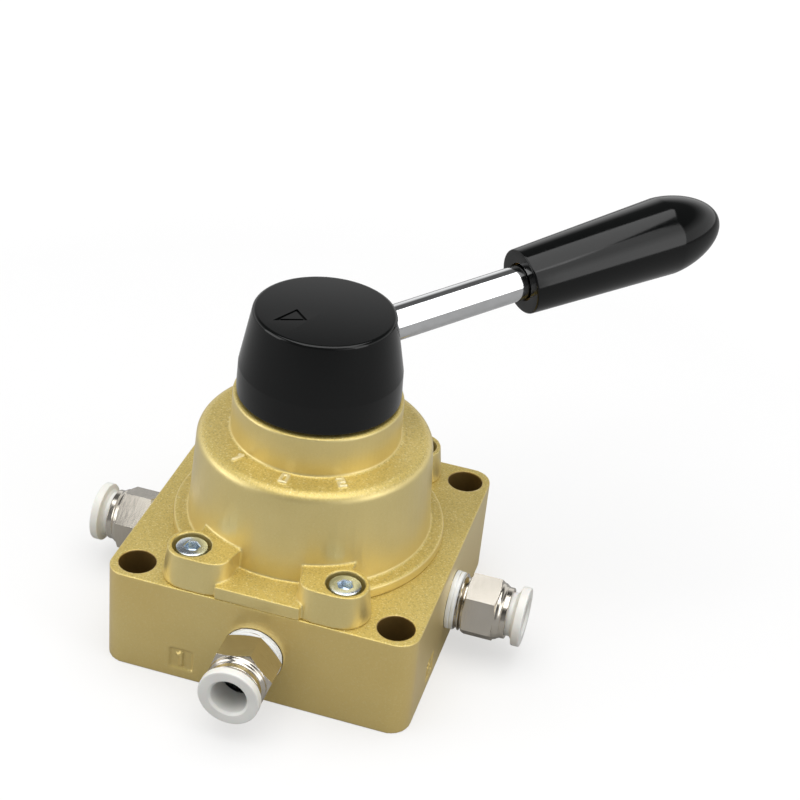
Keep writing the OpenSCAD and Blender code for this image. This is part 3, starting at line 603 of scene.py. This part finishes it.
fitting_outline = (
    [Vector((air_way, -thread_length)), Vector((thread_crest - thread_depth, -thread_length))]
    + rows(thread_crest, -thread_length + 0.4, thread_crest, thread_end - 0.01, 64)
    + [Vector((thread_crest - thread_depth, thread_end + 0.1)),
       Vector((thread_crest - thread_depth, hexagon_start))]
    + rows(flats / 2 - 0.12, hexagon_start, corner_radius, hexagon_start + chamfer, 10)
    + rows(corner_radius, hexagon_start + chamfer, corner_radius, hexagon_end - chamfer, 8)
    + rows(corner_radius, hexagon_end - chamfer, flats / 2 - 0.12, hexagon_end, 10)
    + [Vector((shoulder_radius - shoulder_round * (1 - math.cos(math.radians(a))),
               hexagon_end + 0.1 + shoulder_round * math.sin(math.radians(a))))
       for a in range(0, 51, 10)]
    + outline([(mouth_radius + 0.12, ring_start, 0), (mouth_radius, ring_start + 0.08, 0.03),
               (mouth_radius, mouth_end, 0.28), (cavity_radius, mouth_end, 0.06),
               (cavity_radius, cavity_floor, 0), (socket_radius, cavity_floor, 0),
               (socket_radius, socket_floor, 0), (air_way, socket_floor, 0)])
)
for side in port_directions:
    body = turned(side + "_fitting", fitting_outline, fitting_shape, fitting_place(side), steps=180)
    place(body, nickel, "nickel_plate", "valve_body", side + "_fitting_body")

# %% [markdown]
# ## Sealant rings
#
# A band of white sealant is baked on the first turns of the thread. When the fitting is screwed in,
# the face of the block scrapes some of it up into an uneven ring, with a hollow between the last
# two turns. A plain ring would look like a washer, so its edge is pushed in and out by a smooth
# noise that depends only on the place, which gives the same ring each time the script runs.

# %% The uneven white rings
ring_inner, ring_outer, ring_length = 6.55, 6.8, 2.0
ring_tuck = 0.5
broad_waves, fine_waves = 0.10, 0.05


def ragged(seed):
    """A shape function that makes the ring's rim uneven."""
    def shape(angle, r, z):
        if r < ring_inner + 0.05:
            return r
        at = Vector((3 * math.cos(angle), 3 * math.sin(angle), z + seed))
        return r - broad_waves + broad_waves * noise.noise(at) + fine_waves * noise.noise(at * 4)
    return shape


for number, side in enumerate(port_directions):
    low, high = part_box(side + "_thread_seal")
    outwards = fitting_place(side).to_3x3() @ Vector((0, 0, 1))
    begin = (min(low.dot(outwards), high.dot(outwards))
             - fitting_place(side).translation.dot(outwards)) / MM
    loop = outline([(ring_inner - ring_tuck, begin, 0), (ring_outer, begin, 0.12),
                    (ring_outer, begin + ring_length * 0.42, 0.12),
                    (ring_inner + 0.02, begin + ring_length * 0.50, 0.06),
                    (ring_outer - 0.03, begin + ring_length * 0.58, 0.12),
                    (ring_outer - 0.08, begin + ring_length * 0.90, 0.12),
                    (ring_inner - ring_tuck, begin + ring_length, 0)])
    ring = turned(side + "_sealant", loop, ragged(7.0 * number), fitting_place(side))
    place(ring, sealant, "thread_sealant", "valve_body", side + "_thread_seal")

# %% [markdown]
# ## Release collars
#
# Pushing the white collar in lets the tube go. Its sleeve runs into the fitting and ends in fingers,
# and its flange has a soft rim, a slightly hollow back for the fingertips, and a chamfered bore that
# leads the tube in. It slides on its own joint, so each collar is a piece of its own.

# %% The four white collars
bore_radius, sleeve_radius, flange_radius = 4.05, 5.0, 6.8
sleeve_start, flange_start, flange_end = 10.2, 14.9, 17.3
pushed_in = {"front": 0.5, "right": 0.0, "back": 0.0, "left": 0.0}


for side in port_directions:
    push = pushed_in[side]
    loop = outline([
        (bore_radius, sleeve_start - push, 0.1), (sleeve_radius, sleeve_start - push, 0.15),
        (sleeve_radius, flange_start - 0.3 - push, 0.15),
        (flange_radius - 1.2, flange_start + 0.2 - push, 0.2),
        (flange_radius, flange_start + 0.5 - push, 0.3), (flange_radius, flange_end - push, 0.4),
        (bore_radius + 0.5, flange_end - push, 0.12), (bore_radius, flange_end - 0.5 - push, 0.12)])
    collar = turned(side + "_collar", loop, None, fitting_place(side))
    place(collar, white_plastic, "collar_plastic", side + "_collar", side + "_release_collar")

# %% [markdown]
# ## Bonnet screws
#
# Four socket-head cap screws hold the bonnet. A real one has a knurled side, a small chamfer, and a
# six-sided socket with a drill's cone at the bottom. The head and thread are turned, with the knurl
# and thread in the shape function, and the socket is the inner end of the same outline, whose radius
# is held to six flats, so that the whole screw is one closed skin.

# %% The cap screws
low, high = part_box("bonnet_screws")
screw_radius, head_radius, head_height = 2.0, 3.5, 4.0
screw_x = high.x / MM - head_radius
screw_y = high.y / MM - head_radius
screw_bottom, screw_top = low.z / MM, high.z / MM
head_start = screw_top - head_height
socket_flats, socket_depth = 3.0, 2.0
screw_pitch, screw_tooth = 0.7, 0.18
knurls, knurl_depth = 36, 0.06
first_turn, turn_between = 17, 40


def screw_shape(angle, r, z):
    """Knurl the head's side, wind the thread, and square the socket to six flats."""
    if abs(r - head_radius) < 0.01 and head_start + 0.3 < z < screw_top - 0.7:
        return r - knurl_depth * (1 - math.cos(knurls * angle))
    if abs(r - screw_radius) < 0.01 and z < head_start - 1:
        return r - screw_tooth * (1 + math.cos(2 * math.pi * z / screw_pitch - angle))
    if abs(r - socket_flats / 2) < 0.2 and z > screw_top - socket_depth - 0.01:
        sector = (angle + math.pi / 6) % (math.pi / 3) - math.pi / 6
        return r / math.cos(math.pi / 6 - abs(sector))
    return r


screw_outline = (
    [Vector((0, screw_bottom))]
    + rows(screw_radius, screw_bottom + 0.2, screw_radius, head_start, 60)
    + [Vector((screw_radius, head_start)), Vector((head_radius - 0.2, head_start))]
    + rows(head_radius, head_start + 0.2, head_radius, screw_top - 0.45, 12)
    + [Vector((head_radius, screw_top - 0.45)), Vector((head_radius - 0.14, screw_top - 0.14)),
       Vector((head_radius - 0.45, screw_top)), Vector((socket_flats / 2 + 0.15, screw_top)),
       Vector((socket_flats / 2, screw_top - 0.15)),
       Vector((socket_flats / 2, screw_top - socket_depth)),
       Vector((0, screw_top - socket_depth - 0.5))]
)
for number, (side_x, side_y) in enumerate(((-1, -1), (1, -1), (1, 1), (-1, 1))):
    turn = Matrix.Translation((side_x * screw_x * MM, side_y * screw_y * MM, 0))
    turn = turn @ Matrix.Rotation(math.radians(first_turn + turn_between * number), 4, "Z")
    screw = turned("cap_screw_" + str(number + 1), screw_outline, screw_shape, turn)
    place(screw, zinc, "zinc_steel", "valve_body", "bonnet_screws")

# %% [markdown]
# ## Knob
#
# The knob is a black moulding: a short upright band, a crease, a long taper and a softly rounded
# top edge. Its outline is turned like the rest. The hole for the rod is cut by a boolean with a
# cylinder on the lever's own axis, which leans up by a few degrees. The pointer is not printed: it
# is the outline of a triangle sunk in the top by the mould, black on black, so it shows only by
# the light on its edges. It is cut in the same way, with a prism that has a hole in it.

# %% The knob and its rod hole
low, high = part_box("knob")
knob_radius = 18.0
knob_top = high.z / MM
knob_height = 19.8
knob_bottom = knob_top - knob_height
crease_radius, crease_height = 17.8, 6.5
top_radius, top_wall = 15.3, 3.0
knob_wall = 2.5
boss_radius = 8.1
boss_bottom = low.z / MM
square_half = 4.25
lever_direction = math.radians(45)
lever_tilt = math.radians(7.8)
lever_height = knob_bottom + 11
rod_radius = 4.0

lever_frame = (Matrix.Rotation(lever_direction, 4, "Z")
               @ Matrix.Translation((0, 0, lever_height * MM))
               @ Matrix.Rotation(math.radians(90) - lever_tilt, 4, "Y"))
inner_top = knob_top - top_wall
knob_loop = outline([
    (knob_radius - knob_wall, knob_bottom, 0.3), (knob_radius, knob_bottom, 0.35),
    (crease_radius, knob_bottom + crease_height, 0.25), (top_radius, knob_top, 0.9),
    (0, knob_top, 0), (0, inner_top - 1, 0),
    (square_half, inner_top - 1, 0), (square_half, boss_bottom, 0.2),
    (boss_radius, boss_bottom, 0.3), (boss_radius, inner_top, 0.4),
    (top_radius - knob_wall, inner_top, 0.5),
    (crease_radius - knob_wall, knob_bottom + crease_height, 0.2)], 8)


def square_socket(angle, r, z):
    """The hole for the spindle's square end."""
    if abs(r - square_half) > 0.01:
        return r
    sector = (angle - lever_direction + math.pi / 4) % (math.pi / 2) - math.pi / 4
    return r / math.cos(sector)


knob = turned("knob_moulding", knob_loop, square_socket, steps=192)

# %% The tools that cut the rod's hole and the pointer
hole_start, hole_end = 4.2, 26
drill_radius = rod_radius + 0.2
drill_loop = [Vector(corner) for corner in (
    (0, hole_start), (drill_radius, hole_start), (drill_radius, hole_end), (0, hole_end))]
drill = turned("drill", drill_loop, None, lever_frame, steps=96)
pointer_tip, pointer_tail, pointer_half = 12.36, 5.4, 2.52
pointer_groove, pointer_depth = 0.6, 0.35
tip_inset, half_inset = 3.1 * pointer_groove, 1.35 * pointer_groove
corners = [(pointer_tip, 0), (pointer_tail, pointer_half), (pointer_tail, -pointer_half),
           (pointer_tip - tip_inset, 0), (pointer_tail + pointer_groove, pointer_half - half_inset),
           (pointer_tail + pointer_groove, half_inset - pointer_half)]
outer_sides, inner_sides = ((0, 1), (1, 2), (2, 0)), ((3, 4), (4, 5), (5, 3))
prism_points = [(-x * MM, -y * MM, z * MM)
                for z in (knob_top - pointer_depth, knob_top + 1) for x, y in corners]
prism_faces = [(a + up, b + up, b + 3 + up, a + 3 + up) for up in (0, 6) for a, b in outer_sides]
prism_faces += [(a, b, b + 6, a + 6) for a, b in outer_sides + inner_sides]
prism_mesh = bpy.data.meshes.new("pointer_prism")
prism_mesh.from_pydata(prism_points, [], prism_faces)
prism = bpy.data.objects.new("pointer_prism", prism_mesh)
prism.matrix_world = Matrix.Rotation(lever_direction, 4, "Z")
bpy.context.scene.collection.objects.link(prism)
facing = bmesh.new()
facing.from_mesh(prism_mesh)
bmesh.ops.recalc_face_normals(facing, faces=facing.faces)
facing.to_mesh(prism_mesh)
facing.free()
print("The prism has", len(prism_faces), "faces")

# %% Cut them out of the knob
for title, tool in (("rod_hole", drill), ("pointer", prism)):
    cut = knob.modifiers.new(title, "BOOLEAN")
    cut.operation, cut.solver, cut.object = "DIFFERENCE", "EXACT", tool
keep_result(knob)
bpy.data.objects.remove(drill)
bpy.data.objects.remove(prism)
shade(knob, 30)
place(knob, black_gloss, "black_plastic", "rotor", "knob")

# %% [markdown]
# ## Lever
#
# The rod is chromed steel, threaded into the spindle at one end and into the grip's insert at the
# other. The grip is a tapered black moulding with a blunt nose, whose outline is drawn by a power
# curve, rounder than a cone and fuller than a circle. Its mouth is a flat face with a shallow
# recess close round the rod, which hides the joint with the insert. The rod's threads are hidden.

# %% The rod and the grip
grip_start, grip_length = 49.5, 53.7
grip_recess, grip_recess_radius = 1.5, 4.4
mouth_outer, largest = 7.5, 9.14
nose_length, nose_power = 15.4, 1.66
insert_radius, insert_length = 5.0, 13.0
thread_radius = 3.0
rod_inner, rod_shoulder = -3.0, 5.2
rod_outer = grip_start + grip_recess
rod_tip = rod_outer + insert_length - 2
rod_pitch, rod_tooth = 1.0, 0.25


def rod_shape(angle, r, z):
    """Wind the thread at both ends of the rod."""
    if abs(r - thread_radius) > 0.01:
        return r
    return r - rod_tooth * (1 + math.cos(2 * math.pi * z / rod_pitch - angle))


rod_outline = (
    [Vector((0, rod_inner))] + rows(thread_radius, rod_inner + 0.1, thread_radius, rod_shoulder, 60)
    + [Vector((thread_radius, rod_shoulder)), Vector((rod_radius - 0.4, rod_shoulder)),
       Vector((rod_radius, rod_shoulder + 0.4)), Vector((rod_radius, rod_outer - 0.4)),
       Vector((rod_radius - 0.4, rod_outer))]
    + rows(thread_radius, rod_outer, thread_radius, rod_tip - 0.1, 80)
    + [Vector((0, rod_tip))]
)
rod = turned("chromed_rod", rod_outline, rod_shape)
settle(rod, lever_frame)
place(rod, chrome, "chrome", "rotor", "lever_rod")

nose_start = grip_start + grip_length - nose_length
nose_steps = 36
grip_outline = outline([
    (insert_radius, rod_outer, 0), (grip_recess_radius, rod_outer, 0),
    (grip_recess_radius, grip_start, 0.25), (mouth_outer, grip_start, 0.45),
    (largest, nose_start, 0)])[:-1]
for k in range(nose_steps + 1):
    u = 1 - (1 - k / nose_steps) ** 2
    width = largest * math.sqrt(max(0.0, 1 - u ** nose_power))
    grip_outline.append(Vector((width, nose_start + nose_length * u)))
insert_end = rod_outer + insert_length
grip_outline += [Vector((0, insert_end)), Vector((insert_radius, insert_end))]
grip = turned("grip_moulding", grip_outline, steps=192, sharp=40)
settle(grip, lever_frame)
place(grip, black_gloss, "black_plastic", "rotor", "lever_grip")

# %% [markdown]
# ## Everything that stays as the frame made it
#
# The inner parts are right as they are and can't be seen in the photograph, but someone may turn the
# handle, take the bonnet off in a scene, or cut the valve open. So each gets its own real finish.
# Machined parts get a narrow bevel, and the springs' coarse wire is rounded by subdivision.

# %% Finishes for the nodes that stay
stays = {
    "bonnet_seal": rubber, "port_seals": rubber, "spindle_seal": rubber,
    "seat_bush": bronze, "spindle_bush": bronze, "thrust_washer": bronze,
    "stop_pin": steel, "spindle": steel, "pressure_spring": steel, "detent_springs": steel,
    "rotor_disc": alloy, "detent_hub": alloy,
    "detent_ball_a": chrome, "detent_ball_b": chrome,
    "grip_insert": brass,
}
for side in port_directions:
    stays[side + "_guide_ring"] = nickel
    stays[side + "_grab_ring"] = steel
    stays[side + "_tube_seal"] = rubber
bevelled = ("seat_bush", "spindle_bush", "stop_pin", "spindle", "rotor_disc", "detent_hub",
            "grip_insert")
bevel_width, bevel_angle = 0.15, 40
springs = ("pressure_spring", "detent_springs")
for name, material in stays.items():
    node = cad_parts[name]
    for slot in node.material_slots:
        slot.material = material
    if name in bevelled + springs:
        node.modifiers.new("join", "WELD").merge_threshold = 1e-6
    if name in bevelled:
        edge = node.modifiers.new("edge", "BEVEL")
        edge.width, edge.segments, edge.angle_limit = bevel_width * MM, 2, math.radians(bevel_angle)
    if name in springs:
        wire = node.modifiers.new("wire", "SUBSURF")
        wire.levels = wire.render_levels = 1
print(len(stays), "nodes of the frame keep their shape")
